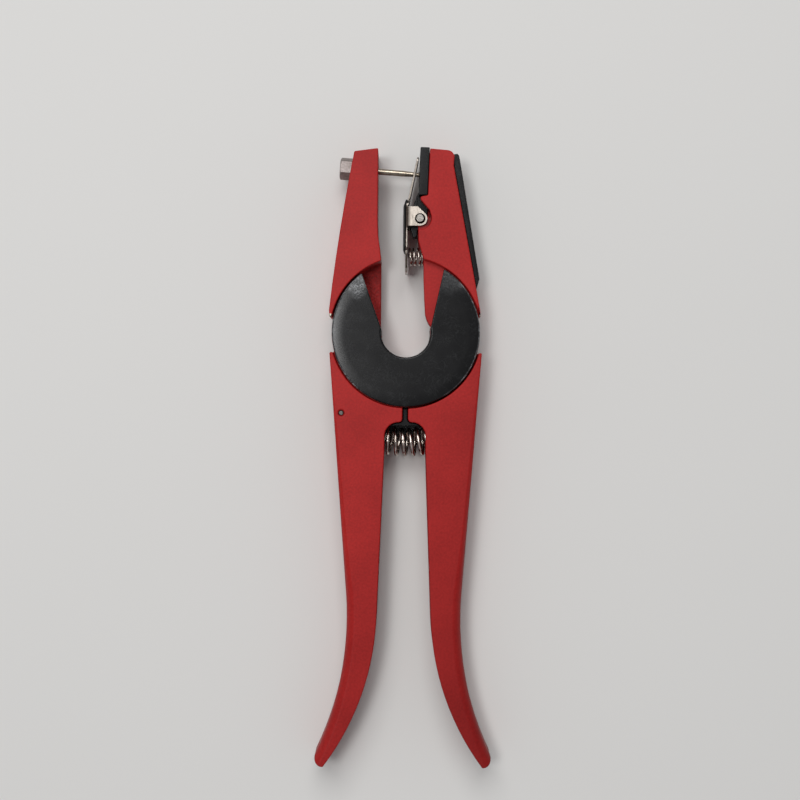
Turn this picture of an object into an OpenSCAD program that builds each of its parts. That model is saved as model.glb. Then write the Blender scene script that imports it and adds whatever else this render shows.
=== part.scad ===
// Ear tag pliers, shut, lying on their back cover.
// Two die-cast levers cross as half rings around an open throat, with no pin at the centre.
// A slip ring between the half rings carries a rib on each side, and two covers clamp the stack.
// The plan is drawn about the pivot, with the jaws along +Y and the front face up.

/* [Levers] */
// Thickness of the die-cast levers
casting_t = 20; // [19.6:0.1:20.6]
// Angle that the handles open
open_angle = 25; // [15:1:26]
// Outer radius of the crossing half rings
ring_r = 30; // [29.9:0.05:30.05]
// Radius of the open throat
throat_r = 10.15; // [10.1:0.05:10.5]
// Rounding along the outer edges of the grips
grip_round = 4.5; // [3.5:0.25:5]
// Wall left around the channel inside each handle
channel_wall = 3.2; // [2.8:0.1:3.6]

/* [Covers and bearing] */
// Height that the covers stand proud of the castings
cover_proud = 0.6; // [0.4:0.1:0.8]
// Thickness of each cover
cover_t = 3.1; // [2.9:0.1:3.3]
// Radius of each cover
cover_r = 29.85; // [29.4:0.05:29.9]
// Radius of the circle of the three cover posts
post_circle_r = 23.5; // [23:0.1:24]
// Diameter of a cover post
post_d = 5; // [4.6:0.1:5.4]
// Thickness of the slip ring between the half rings
web_t = 1; // [0.8:0.1:1.2]
// Height of the rib on each side of the slip ring
rib_h = 3; // [2:0.25:3.5]

/* [Tag pin] */
// Diameter of the needle
needle_d = 2.4; // [2:0.1:2.8]
// Diameter of the threaded shank
shank_d = 5; // [4.5:0.1:5]
// Tilt of the pin, square to the radius where it meets the insert
pin_tilt = 4.25; // [4:0.05:4.5]
// Distance from the pivot to the line of the pin
pin_reach = 65.1; // [64.6:0.1:65.6]
// Width of the nut across its flats
nut_flats = 8; // [7.5:0.1:8.2]
// Thickness of the nut
nut_t = 5.2; // [4.5:0.1:5.3]

/* [Tag clip] */
// Thickness of the clip's sheet steel
sheet_t = 0.85; // [0.7:0.05:0.95]
// Diameter of the clip's hinge pin
clip_pin_d = 3; // [2.8:0.1:3.2]
// Width of the gap between the two prongs of the fork
fork_gap = 5.2; // [4.4:0.1:5.6]

/* [Springs] */
// Outer diameter of the main spring
main_spring_d = 12; // [11.4:0.1:12.2]
// Wire of the main spring
main_wire_d = 1.5; // [1.2:0.1:1.6]
// Outer diameter of the clip spring
clip_spring_d = 7.6; // [7:0.1:7.8]
// Wire of the clip spring
clip_wire_d = 0.8; // [0.6:0.05:0.9]

/* [Hidden] */
$fn = 64;

red = "firebrick";
black = "#2c2d2f";
steel = "silver";
// Overlap of a cut at a face, and length of a cut that goes right through
cut = 1;
through = 40;

// Reach of the jaws and of the handle tips from the pivot, which is moved so that the origin is mid-length
jaw_reach = 74.8;
handle_reach = 175.3;
pivot_y = (handle_reach - jaw_reach) / 2;

// Heights: castings, covers and the two half rings
z_back = cover_proud;
z_front = cover_proud + casting_t;
z_mid = (z_back + z_front) / 2;
z_top = z_front + cover_proud;
slide_gap = 0.1;
front_ring_lo = z_mid + web_t / 2 + slide_gap;
front_ring_hi = z_top - cover_t - slide_gap;
back_ring_lo = cover_t + slide_gap;
back_ring_hi = z_mid - web_t / 2 - slide_gap;

// Room around the half rings
ring_room = ring_r + 0.6;
cover_recess_r = ring_r + 0.4;

// Edges of the throat: the left arm is straight, and each cover edge leans out from the pivot
left_arm_x = -10.2;
right_arm_x = 8;
left_lean = 19.9;
right_lean = 12.3;
left_lip = [-9.36, 0];
right_lip = [9.6, 0.2];
lip_reach = 45;
open_margin = 1;
front_ring_setback = 0.5;

// Guide rib of the slip ring and the cover posts
rib_r = [13, 17];
rib_span = [190, 350];
rib_room = 0.2;
post_angles = [170, 270, 370];
post_room = 0.1;
slot_room = 0.3;
screw_d = 2.9;
screw_head_d = 5.6;
screw_head_t = 1.6;
screw_l = 13;
screw_room = 0.4;

// Plan of a handle: a straight outer edge that runs into an arc, a waist, and a flared tip
shoulder = [30.7, -8];
outer_bow_c = [154, -115];
outer_bow_r = 131;
outer_bow_a = [175.7, 205];
tip_c = [32.45, -171.85];
tip_r = 3.2;
inner_bow_c = [116.1, -111.7];
inner_bow_r = 105.2;
inner_bow_a = [217.1, 182];
inner_top = [8.3, -47];
grip_start = [
  outer_bow_c.x + outer_bow_r * cos(outer_bow_a[0]),
  outer_bow_c.y + outer_bow_r * sin(outer_bow_a[0])
];
straight_l = norm(shoulder - grip_start);
straight_lean = atan((shoulder.x - grip_start.x) / (shoulder.y - grip_start.y));
round_relief = 0.1;
round_fade = grip_round * (1 - 1 / sqrt(2)) - round_relief / sqrt(2);
channel_bands = [[-57, -94.5], [-97, -131], [-133.5, -163]];

// Gap between the handles below the rings, and the domed room for the spring
stem_half = 1.15;
dome_half = 8.3;
dome_top = -36.1;
dome_r = 5.6;
flare_r = 1.5;
flare_c = [stem_half + flare_r, dome_top + flare_r];
tail_room = 0.3;
tail_z = [4, 17.2];
hood_bottom = -37.6;
cradle_z = 2.2;
cradle_bottom = -45.6;
hood_room = 0.5;

// Main spring, which lies on an arc about the pivot, and its seats in the handles
spring_r = 44.3;
seat_a = 18.3;
seat_r = 6.6;
seat_room = 0.2;
main_turns = 8.875;
main_phase = 100;
main_end_gap = 0.8;

// Right jaw: seat of the insert, hinge of the clip and pocket of the spare pin
clip_axis = [5.4, 46.1];
hinge_fit = 0.1;
ear_room_r = 4.6;
ear_z = [z_front - 2.2, z_front - 1.2];
cheek_z = [z_front - 5.6, z_front - 2.4];
cheek_r = 3;
insert_slot_z = [z_back + z_front - cheek_z[0], cheek_z[0]];
insert_slot_x = 8.5;
insert_slot_y = [41.9, 56];
insert_room = 0.2;
right_jaw_inner = [
  [9.2, 74.2], [8.5, 55.35], [5.6, 54.85], [4.65, 42.1], [4.75, 37], [7, 29.5],
  [7, 22.2], [7.4, 13.3], [7.75, 7.5], [8.35, 5.4], [9.3, 3.5], [10.3, 2.2]
];
ear_pocket = [[3, 53.6], [5.5, 53.6], [9.4, 49.1], [9.6, 47], [clip_axis.x, 47]];
right_jaw_outer = [[30.05, 6.9], [29.85, 9.3], [18.75, 67.5], [18.95, 70]];
jaw_corner_c = [16.1, 70.6];
jaw_corner_r = 3;
strip_top = [18.65, 68.3];
strip_end = [27.4, 22.3];
strip_lean = atan((strip_end.x - strip_top.x) / (strip_top.y - strip_end.y));
strip_half = 7;
strip_l = 51.5;
strip_lead = 4;
strip_room = 0.2;
spare_slot_l = 41;
spare_slot_w = 5.6;
spare_slot_depth = 6;
spare_slot_start = 5;

// Left jaw
left_jaw_inner = [
  [-11.7, 74.2], [-11.7, 45.7], [-11.5, 39.6], [-10.6, 33.5],
  [left_arm_x, 29.5], [left_arm_x, 12]
];
left_jaw_tip = [-30.9, 6.1];
left_jaw_low = [-31, 9];
left_jaw_top = [-21.3, 72.9];
left_jaw_bulge = 0.65;

// Tag pin: places along its line, counted from where it meets the insert
pin_face = -16.9;
pin_straight_end = -6;
pin_end = 1.6;
pin_seat = -27;
pin_base = pin_seat - nut_t;
nut_seat_r = 5.6;
needle_tip_d = 1.6;
nut_turn = 26;
pin_fit = 0.05;

// Clip: its sheet, pad and ears, and its spring
sheet_x = [-0.45, -0.45 + sheet_t];
pad_t = 0.9;
ear_r = 3;
ear_y = [43.1, 51];
clip_spring_y = 31.4;
clip_spring_x = [0.6, 7.2];
clip_turns = 3.75;
spring_end_gap = 0.5;

// Latch: a pawl in the left handle and a tooth on the rim of the back half ring
latch_axis = [-25.8, -32.5];
latch_z = [4.4, 8.8];
latch_slot_z = [4.1, 9.1];
latch_boss_r = 2.3;
latch_pin_d = 2;
tooth_r = 32.1;
tooth_a = [209.5, 213.5];
tooth_path_r = 32.6;
tooth_path_a = [208, 241];
latch_outline = [
  [-27.15, -18.15], [-29.1, -20.05], [-29.1, -24.4], [-28.1, -32], [-28, -34.5],
  [-28.85, -38.4], [-28.85, -40.6], [-27.9, -41.4], [-26.5, -41.1], [-24.4, -35],
  [-23.6, -32], [-25.2, -26.5], [-25.85, -24], [-25.9, -19.85]
];
latch_slot = [
  [-34, -16.6], [-24, -16.6], [-22.9, -20], [-22.9, -36], [-25.4, -42.2], [-34, -42.2]
];
latch_spring_y = -38.4;
latch_spring_x = [-25.3, -19.5];
latch_spring_d = 3.2;
latch_wire_d = 0.4;
latch_turns = 5;
latch_spring_hole_r = 1.9;
latch_pin_mouth = 0.4;

// Points of an arc, from one angle to another
function arc(c, r, a, n) = [for (i = [0:n]) let (t = a[0] + (a[1] - a[0]) * i / n) c + r * [cos(t), sin(t)]];

// Points of a gently bowed edge between two points, bowed to the left of the way from p to q
function bow(p, q, sag, n) =
  let (d = q - p, side = [-d.y, d.x] / norm(d))
  [for (i = [0:n]) let (t = i / n) p + d * t + side * sag * 4 * t * (1 - t)];

// Outline of a rectangle with round corners
function round_rect(lo, hi, r, n = 6) = concat(
  arc([hi.x - r, hi.y - r], r, [0, 90], n),
  arc([lo.x + r, hi.y - r], r, [90, 180], n),
  arc([lo.x + r, lo.y + r], r, [180, 270], n),
  arc([hi.x - r, lo.y + r], r, [270, 360], n)
);

// Outer edge of a handle, moved in by a wall
function outer_edge(inset, a_end) = concat(
  [shoulder - [inset, 0]],
  arc(outer_bow_c, outer_bow_r + inset, [outer_bow_a[0], a_end], 14)
);

// Centre line of a coil: one closer turn at each end and even turns between
function coil_height(u, turns, len, wire, end_gap) =
  let (close = wire + end_gap, body = (len - wire - 2 * close) / (turns - 2))
  u < 1 ? close * u : u < turns - 1 ? close + body * (u - 1) : len - wire - close * (turns - u);

function coil_line(turns, len, d, wire, end_gap, phase = 0) =
  let (r = (d - wire) / 2)
  [for (i = [0:turns * 8]) let (a = 45 * i + phase)
    [r * cos(a), r * sin(a), wire / 2 + coil_height(i / 8, turns, len, wire, end_gap)]];

// Point beside a coil's line, with the coil's axis bent to an arc of the given radius, or straight for none
function coil_point(p, side, bend) =
  bend == 0 ? p + side :
  let (a = p.z / bend * 180 / PI, r = bend - p.y - side.y)
  [p.x + side.x, bend - r * cos(a) + side.z * sin(a), r * sin(a) + side.z * cos(a)];

// Least gap between one turn of a coil and the next
function coil_gap(line, wire, bend = 0) =
  let (axis = [for (p = line) coil_point(p, [0, 0, 0], bend)])
  min([for (i = [0:len(axis) - 1]) for (j = [i + 5:1:len(axis) - 1]) norm(axis[i] - axis[j])]) - wire;

// Place in the shared frame
module in_frame() translate([0, pivot_y, 0]) children();

// Plan shape between two heights
module layer(z) translate([0, 0, z[0]]) linear_extrude(z[1] - z[0]) children();

// Outline in Z and Y, extruded between two X values
module across(x) translate([x[1], 0, 0]) rotate([0, -90, 0]) linear_extrude(x[1] - x[0]) children();

// Part of a ring between two radii, two heights and two angles
module arc_block(r, z, a) {
  rotate([0, 0, a[0]]) rotate_extrude(angle = a[1] - a[0], $fn = 128)
    translate([r[0], z[0]]) square([r[1] - r[0], z[1] - z[0]]);
}

// Round rod along X
module rod_x(x, y, z, r) translate([x[0], y, z]) rotate([0, 90, 0]) cylinder(h = x[1] - x[0], r = r);

// Room for the main spring: a tube on the arc of its axis, between two angles from the middle of the tool
module spring_room(r, a) {
  translate([0, 0, z_mid]) rotate([0, 0, a[0] - 90]) rotate_extrude(angle = a[1] - a[0], $fn = 128)
    translate([spring_r, 0]) circle(r);
}

// Copies for both faces of the tool
module both_faces() {
  children();
  translate([0, 0, 2 * z_mid]) mirror([0, 0, 1]) children();
}

// Unbroken coil of wire, standing on its end
module coil(line, wire, bend = 0) {
  sides = 6;
  rings = len(line);
  points = [
    for (p = line) let (a = atan2(p.y, p.x)) for (j = [0:sides - 1])
      let (side = wire / 2 * [cos(60 * j) * cos(a), cos(60 * j) * sin(a), sin(60 * j)])
      coil_point(p, side, bend)
  ];
  skin = [
    for (i = [0:rings - 2]) for (j = [0:sides - 1])
      let (k = (j + 1) % sides, a = i * sides, b = a + sides)
      each [[a + j, b + j, b + k], [a + j, b + k, a + k]]
  ];
  start_cap = [for (j = [1:sides - 2]) [0, j, j + 1]];
  last = (rings - 1) * sides;
  end_cap = [for (j = [1:sides - 2]) [last, last + j + 1, last + j]];
  polyhedron(points = points, faces = concat(skin, start_cap, end_cap), convexity = 10);
}

// Opening between two leaning lips, for the covers and the slip ring
module lip_wedge(grow = 0) {
  polygon([
    [0, -2], left_lip - [grow, 0], left_lip - [grow, 0] + lip_reach * [-sin(left_lean), cos(left_lean)],
    right_lip + [grow, 0] + lip_reach * [sin(right_lean), cos(right_lean)], right_lip + [grow, 0]
  ]);
}

// Opening of the front half ring, from its hidden end to the right arm
module front_throat() {
  left = left_lip - [front_ring_setback, 0];
  polygon(concat(
    [[0, -2], left, left + lip_reach * [-sin(left_lean), cos(left_lean)], [right_jaw_inner[5].x, lip_reach]],
    [for (i = [5:len(right_jaw_inner) - 1]) right_jaw_inner[i]]
  ));
}

// Opening of the back half ring, whose right end stays out of the throat when the handles open
module back_throat() {
  swing = open_angle + open_margin;
  end = right_arm_x * [cos(swing), -sin(swing)];
  polygon([
    [left_arm_x, -1], [left_arm_x, lip_reach], [lip_reach, lip_reach],
    end + lip_reach * [sin(swing), cos(swing)], end
  ]);
}

// Right half of the flared mouth between the stem and the dome, for the given rounding
module flare(r) {
  polygon(concat([[0, flare_c.y], [0, flare_c.y - r - cut], [flare_c.x, flare_c.y - r - cut]],
    arc(flare_c, r, [270, 180], 6)));
}

// Plan of the right handle
module handle_plan() {
  difference() {
    polygon(concat(
      [[28.5, shoulder.y]], outer_edge(0, outer_bow_a[1]), arc(tip_c, tip_r, [25, -72], 8),
      arc(inner_bow_c, inner_bow_r, inner_bow_a, 14), [inner_top, [stem_half, -45], [stem_half, -28]]
    ));
    translate([0, -60]) square([dome_half, 60 + dome_top - dome_r]);
    translate([0, -60]) square([dome_half - dome_r, 60 + dome_top]);
    translate([dome_half - dome_r, dome_top - dome_r]) circle(dome_r);
    flare(flare_r);
  }
}

// Corner that is cut away to round an edge, with the edge at its origin
module round_corner() {
  difference() {
    translate([-grip_round, -grip_round]) square(grip_round + 3);
    translate([-grip_round, -grip_round]) circle(grip_round + round_relief);
  }
}

// Right handle: rounded outside, with a ribbed channel in its inner side and a seat for the spring
module handle() {
  difference() {
    layer([z_back, z_front]) handle_plan();
    both_faces() translate([0, 0, z_front]) {
      translate(outer_bow_c) rotate([0, 0, outer_bow_a[0]]) rotate_extrude(angle = 34, $fn = 360)
        translate([outer_bow_r, 0]) mirror([1, 0]) round_corner();
      translate(grip_start)
        rotate([atan(round_fade / straight_l), 0, -straight_lean - atan(round_fade / straight_l)])
          rotate([90, 0, 0]) translate([0, 0, -straight_l]) linear_extrude(straight_l + 0.2) round_corner();
    }
    layer([z_back + 3, z_front - 3]) intersection() {
      polygon(concat(outer_edge(channel_wall, outer_bow_a[1]), [[0, -172], [0, shoulder.y]]));
      for (band = channel_bands) translate([0, band[1]]) square([40, band[0] - band[1]]);
    }
    spring_room(seat_r, [0, seat_a]);
  }
}

// Half ring between two heights, less the plan of its opening
module half_ring(z) {
  difference() {
    arc_block([throat_r, ring_r], z, [0, 360]);
    layer([z[0] - cut, z[1] + cut]) children();
  }
}

// Plan of the right jaw, with the boss for the clip pin
module right_jaw_plan() {
  polygon(concat(right_jaw_inner, right_jaw_outer, arc(jaw_corner_c, jaw_corner_r, [10, 85], 6)));
  translate(clip_axis) circle(cheek_r);
}

// Place on the outer face of the right jaw: X along the strip towards the pivot, Y outwards
module on_strip() {
  translate([strip_top.x, strip_top.y, z_mid]) rotate([0, 0, strip_lean - 90]) children();
}

// Place on the line of the tag pin, with Z along the pin towards the insert
module on_pin() {
  translate([pin_reach * sin(pin_tilt), pin_reach * cos(pin_tilt), z_mid])
    rotate([0, 0, -pin_tilt]) rotate([0, 90, 0]) children();
}

// Three places for the cover posts
module at_posts() {
  for (a = post_angles) rotate([0, 0, a]) translate([post_circle_r, 0, 0]) children();
}

module front_lever() {
  color(red) in_frame() difference() {
    union() {
      half_ring([front_ring_lo, front_ring_hi]) front_throat();
      difference() {
        union() {
          mirror([1, 0, 0]) handle();
          layer([z_back, z_front]) right_jaw_plan();
        }
        // Room for the back half ring, the path of its tooth, and the recess of the front cover
        translate([0, 0, -cut]) cylinder(h = front_ring_lo + cut, r = ring_room, $fn = 128);
        arc_block([ring_r, tooth_path_r], [-cut, back_ring_hi + 0.3], tooth_path_a);
        translate([0, 0, front_ring_hi]) cylinder(h = through, r = cover_recess_r, $fn = 128);
      }
    }
    // Groove for the rib of the slip ring and holes for the cover posts
    arc_block(rib_r + [-rib_room, rib_room], [front_ring_lo - cut, front_ring_lo + rib_h + rib_room],
      rib_span + [-1, 1]);
    translate([0, 0, front_ring_lo - cut]) at_posts() cylinder(h = through, r = post_d / 2 + post_room);
    // Rooms for the clip's ears, pockets above them, slot for the insert's leg, and bore of the clip pin
    both_faces() translate([clip_axis.x, clip_axis.y, cheek_z[1]]) cylinder(h = through, r = ear_room_r);
    both_faces() layer([insert_slot_z[1] - insert_room, z_front + cut]) difference() {
      polygon(ear_pocket);
      translate(clip_axis) circle(cheek_r);
    }
    layer(insert_slot_z) translate([0, insert_slot_y[0]])
      square([insert_slot_x, insert_slot_y[1] - insert_slot_y[0]]);
    translate([clip_axis.x, clip_axis.y, -cut]) cylinder(h = through, r = clip_pin_d / 2 + pin_fit);
    // Seat of the clip spring
    rod_x([0, clip_spring_x[1] + seat_room], clip_spring_y, z_mid, clip_spring_d / 2 + 2 * seat_room);
    // Shallow seat of the strip and pocket of the spare pin
    on_strip() translate([-2 * strip_lead, 0, -strip_half - strip_room])
      cube([strip_l + 3 * strip_lead, through, 2 * (strip_half + strip_room)]);
    on_strip() translate([spare_slot_start, -spare_slot_depth, -spare_slot_w / 2])
      cube([spare_slot_l, spare_slot_depth + cut, spare_slot_w]);
    // Slot, spring hole and pin hole of the latch
    layer(latch_slot_z) polygon(latch_slot);
    rod_x([latch_spring_x[0], latch_spring_x[1] + seat_room], latch_spring_y, (latch_z[0] + latch_z[1]) / 2,
      latch_spring_hole_r);
    translate([latch_axis.x, latch_axis.y, -cut]) cylinder(h = through, r = latch_pin_d / 2 + pin_fit);
    translate([latch_axis.x, latch_axis.y, z_front - latch_pin_mouth])
      cylinder(h = 2 * latch_pin_mouth, r1 = latch_pin_d / 2, r2 = latch_pin_d / 2 + 2 * latch_pin_mouth);
  }
}

module back_lever() {
  swing = open_angle + open_margin;
  post_half = asin((post_d / 2 + slot_room) / post_circle_r) + 0.5;
  slot_r = [post_circle_r - post_d / 2 - slot_room, post_circle_r + post_d / 2 + slot_room];
  color(red) in_frame() difference() {
    union() {
      half_ring([back_ring_lo, back_ring_hi]) back_throat();
      arc_block([ring_r - 0.5, tooth_r], [back_ring_lo, back_ring_hi], tooth_a);
      difference() {
        union() {
          handle();
          layer([z_back, z_front])
            polygon(concat(
              left_jaw_inner, [left_jaw_tip], bow(left_jaw_low, left_jaw_top, left_jaw_bulge, 6)
            ));
        }
        // Room for the front half ring and its cover, and the recess of the back cover
        translate([0, 0, back_ring_hi]) cylinder(h = through, r = ring_room, $fn = 128);
        translate([0, 0, -cut]) cylinder(h = back_ring_lo + cut, r = cover_recess_r, $fn = 128);
      }
    }
    // Groove for the rib and slots for the cover posts, long enough for the whole swing
    arc_block(rib_r + [-rib_room, rib_room], [back_ring_hi - rib_h - rib_room, back_ring_hi + cut],
      rib_span + [-swing, 1]);
    for (a = post_angles)
      arc_block(slot_r, [back_ring_lo - cut, back_ring_hi + cut], [a - swing - post_half, a + post_half]);
    // Bore of the tag pin and flat seat of its nut
    on_pin() translate([0, 0, pin_base - cut]) cylinder(h = cut - pin_base, r = shank_d / 2 + pin_fit);
    on_pin() translate([0, 0, pin_seat - through]) cylinder(h = through, r = nut_seat_r);
  }
}

// Horseshoe plate with rounded rims and a gentle fall to the outer one, its flat face down
module cover_plate() {
  rim = 0.8;
  fall = 0.35;
  crown = 5;
  inner = throat_r - 0.2;
  difference() {
    rotate_extrude($fn = 128) polygon(concat(
      [[inner, 0], [cover_r, 0]],
      arc([cover_r - rim, cover_t - fall - rim], rim, [0, 80], 5), [[cover_r - crown, cover_t]],
      arc([inner + rim, cover_t - rim], rim, [90, 180], 5)
    ));
    layer([-cut, cover_t + cut]) lip_wedge();
  }
}

module front_cover() {
  color(black) in_frame() difference() {
    union() {
      translate([0, 0, z_top - cover_t]) cover_plate();
      translate([0, 0, cover_t + 0.05]) at_posts() cylinder(h = z_top - 1.5 * cover_t, d = post_d);
    }
    at_posts() cylinder(h = screw_l + 2, d = screw_d + 0.1);
  }
}

module back_cover() {
  color(black) in_frame() difference() {
    translate([0, 0, cover_t]) mirror([0, 0, 1]) cover_plate();
    translate([0, 0, -cut]) at_posts() cylinder(h = through, d = screw_d + screw_room);
    translate([0, 0, -cut]) at_posts()
      cylinder(h = cut + screw_head_t + seat_room, d = screw_head_d + screw_room);
  }
}

module cover_screws() {
  color(steel) in_frame() at_posts() translate([0, 0, seat_room]) difference() {
    union() {
      cylinder(h = screw_head_t, d = screw_head_d);
      cylinder(h = screw_l, d = screw_d);
    }
    translate([0, 0, -cut]) cylinder(h = cut + 1, r = 1.4, $fn = 6);
  }
}

// Plan of the bearing's hood, from the top of the dome down to a given line
module hood_plan(bottom) {
  half = dome_half - tail_room;
  r = dome_r - tail_room;
  top = dome_top - tail_room;
  difference() {
    union() {
      translate([-half + r, bottom]) square([2 * (half - r), top - bottom]);
      for (side = [-1, 1]) translate([side * (half - r), top - r]) circle(r);
      if (bottom < top - r) translate([-half, bottom]) square([2 * half, top - r - bottom]);
    }
    translate([-2 * half, bottom - 2 * half]) square([4 * half, 2 * half]);
  }
}

// Slip ring with a rib on each side, and the tail that ends in a hood over the spring and a cradle behind it
module pivot_bearing() {
  tail_half = stem_half - tail_room;
  rib_reach = web_t / 2 + slide_gap + rib_h;
  color(black) in_frame() difference() {
    union() {
      difference() {
        arc_block([throat_r + 0.2, cover_r - 0.2], [z_mid - web_t / 2, z_mid + web_t / 2], [0, 360]);
        layer([z_mid - cut, z_mid + cut]) lip_wedge(0.6);
      }
      arc_block(rib_r, [z_mid - rib_reach, z_mid + rib_reach], rib_span);
      layer([z_mid - web_t / 2, z_mid + web_t / 2])
        translate([-tail_half, dome_top]) square([2 * tail_half, -dome_top - ring_r + 2]);
      difference() {
        union() {
          layer(tail_z) {
            translate([-tail_half, dome_top - 1]) square([2 * tail_half, -dome_top - ring_room + 0.8]);
            flare(flare_r + tail_room);
            mirror([1, 0]) flare(flare_r + tail_room);
            hood_plan(hood_bottom);
          }
          layer([cradle_z, tail_z[0] + cut]) hood_plan(cradle_bottom);
        }
        spring_room(main_spring_d / 2 + hood_room, [-seat_a, seat_a]);
      }
    }
    translate([0, 0, z_mid - web_t]) at_posts() cylinder(h = 2 * web_t, r = post_d / 2 + post_room);
  }
}

module main_spring() {
  length = 2 * (seat_a * PI / 180 * spring_r - seat_room);
  flat_line = coil_line(main_turns, length, main_spring_d, main_wire_d, main_end_gap, main_phase);
  line = [for (p = flat_line) p - [0, 0, length / 2]];
  echo(main_spring_least_gap = coil_gap(line, main_wire_d, spring_r));
  color(steel) in_frame() translate([0, -spring_r, z_mid]) rotate([0, 90, 0])
    coil(line, main_wire_d, spring_r);
}

// Anvil block, with a leg that reaches behind the clip pin
module tag_insert() {
  block_z = [z_back + 0.4, z_front - 0.4];
  leg_z = insert_slot_z + [insert_room, -insert_room];
  color(black) in_frame() difference() {
    union() {
      layer(block_z) polygon([[4.75, 55.45], [8.35, 55.45], [9.1, 74.7], [5.35, jaw_reach]]);
      layer(leg_z) polygon(concat(
        [[4.4, 57], [8.3, 57], [8.3, 42.2], [4.4, 42]],
        arc([3.3, 39.9], 1, [0, -90], 5), [[2.6, 38.9], [1.4, 43.2], [1.4, 48]]
      ));
    }
    on_pin() translate([0, 0, -4]) cylinder(h = 7, r = 1.7);
    translate([clip_axis.x, clip_axis.y, 0]) cylinder(h = through, r = clip_pin_d / 2 + pin_fit);
  }
}

// Bent sheet clip: a plate with two ears, a thumb tail below and a fork above
module tag_clip() {
  prong_w = 4.6;
  tail = [z_back + 2.6, z_front - 2.6];
  fork = [z_mid - fork_gap / 2 - prong_w, z_mid + fork_gap / 2 + prong_w];
  plate = [z_back + z_front - ear_z[1], ear_z[1]];
  color(steel) in_frame() difference() {
    union() {
      intersection() {
        layer([0, z_top])
          polygon([
            [sheet_x[0], 24.6], [sheet_x[0], 51.4], [0.2, 52.6], [4.1, 71.2], [4.85, 71.05], [1, 52.4],
            [sheet_x[1], 51], [sheet_x[1], 24.6]
          ]);
        across([-2, 6]) {
          polygon(round_rect([tail[0], 24], [tail[1], 40], 3));
          polygon(round_rect([plate[0], 33.5], [plate[1], 53], 1.5));
          difference() {
            polygon(round_rect([fork[0], 50], [fork[1], 71.5], 2));
            translate([z_mid - fork_gap / 2, 56]) square([fork_gap, 20]);
          }
        }
      }
      both_faces() layer(ear_z) {
        polygon(concat(
          [[sheet_x[0], ear_y[0]], [clip_axis.x + 0.3, ear_y[0]]], arc(clip_axis, ear_r, [-65, 40], 10),
          [[4.6, ear_y[1]], [sheet_x[0], ear_y[1]]]
        ));
      }
    }
    translate([clip_axis.x, clip_axis.y, -cut]) cylinder(h = through, r = clip_pin_d / 2 + hinge_fit);
  }
}

// Pad on the clip's sheet, which follows the bend at its top
module clip_pad() {
  face = sheet_x[0] - pad_t;
  color(black) in_frame() intersection() {
    layer([0, z_top]) polygon([
      [sheet_x[0], 33.1], [face + 0.5, 33.1], [face, 35], [face, 51], [-0.75, 52.7],
      [-0.35, 54], [0.44, 53.8], [0.19, 52.6], [sheet_x[0], 51.4]
    ]);
    across([face - cut, sheet_x[0] + cut]) polygon(round_rect([z_back + 2, 33.1], [z_front - 2, 54], 2));
  }
}

// Hinge pin of the clip, with a low domed head in front
module clip_pin() {
  head_d = 4.2;
  head_t = 0.9;
  head_z = ear_z[1] + 0.1;
  color(steel) in_frame() translate([clip_axis.x, clip_axis.y, 0]) {
    rotate_extrude() polygon([
      [0, z_back + 0.2], [clip_pin_d / 2, z_back + 0.2], [clip_pin_d / 2, head_z], [head_d / 2, head_z],
      [head_d / 2, head_z + head_t / 3], [head_d / 2 - 0.6, head_z + head_t], [0, head_z + head_t]
    ]);
  }
}

module clip_pin_ring() {
  ring_d = 5.4;
  ring_t = 0.7;
  ring_fit = 0.02;
  top = z_back + z_front - ear_z[1] - 0.1;
  color(steel) in_frame() translate([clip_axis.x, clip_axis.y, top - ring_t]) difference() {
    cylinder(h = ring_t, d = ring_d);
    translate([0, 0, -cut]) cylinder(h = through, r = clip_pin_d / 2 + ring_fit);
    for (a = [30, 150, 270]) rotate([0, 0, a]) translate([clip_pin_d / 2 - 0.1, -0.3, -cut])
      cube([0.7, 0.6, through]);
  }
}

module clip_spring() {
  length = clip_spring_x[1] - clip_spring_x[0];
  line = coil_line(clip_turns, length, clip_spring_d, clip_wire_d, spring_end_gap);
  echo(clip_spring_least_gap = coil_gap(line, clip_wire_d));
  color(steel) in_frame() translate([clip_spring_x[0], clip_spring_y, z_mid]) rotate([0, 90, 0])
    coil(line, clip_wire_d);
}

// Needle on a threaded shank, along Z
module pin_blank() {
  shank_r = shank_d / 2;
  needle_r = needle_d / 2;
  tip_r = needle_tip_d / 2;
  rotate_extrude() polygon([
    [0, pin_base], [shank_r - 0.4, pin_base], [shank_r, pin_base + 0.4], [shank_r, pin_face],
    [needle_r, pin_face], [needle_r, pin_straight_end], [tip_r, pin_end - 0.7], [tip_r / 2, pin_end - 0.15],
    [0, pin_end]
  ]);
}

module tag_pin() {
  color(steel) in_frame() on_pin() pin_blank();
}

module pin_nut() {
  corner_r = nut_flats / 2 / cos(30);
  color(steel) in_frame() on_pin() translate([0, 0, pin_seat - nut_t]) rotate([0, 0, nut_turn]) difference() {
    cylinder(h = nut_t, r = corner_r, $fn = 6);
    translate([0, 0, -cut]) cylinder(h = through, r = shank_d / 2 + pin_fit);
  }
}

// Second pin, lying in the pocket of the right jaw
module spare_pin() {
  end_gap = 3.6;
  color(steel) in_frame() on_strip()
    translate([spare_slot_start + end_gap - pin_base, -spare_slot_depth + shank_d / 2 + 0.3, 0])
      rotate([0, 90, 0]) pin_blank();
}

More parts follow.
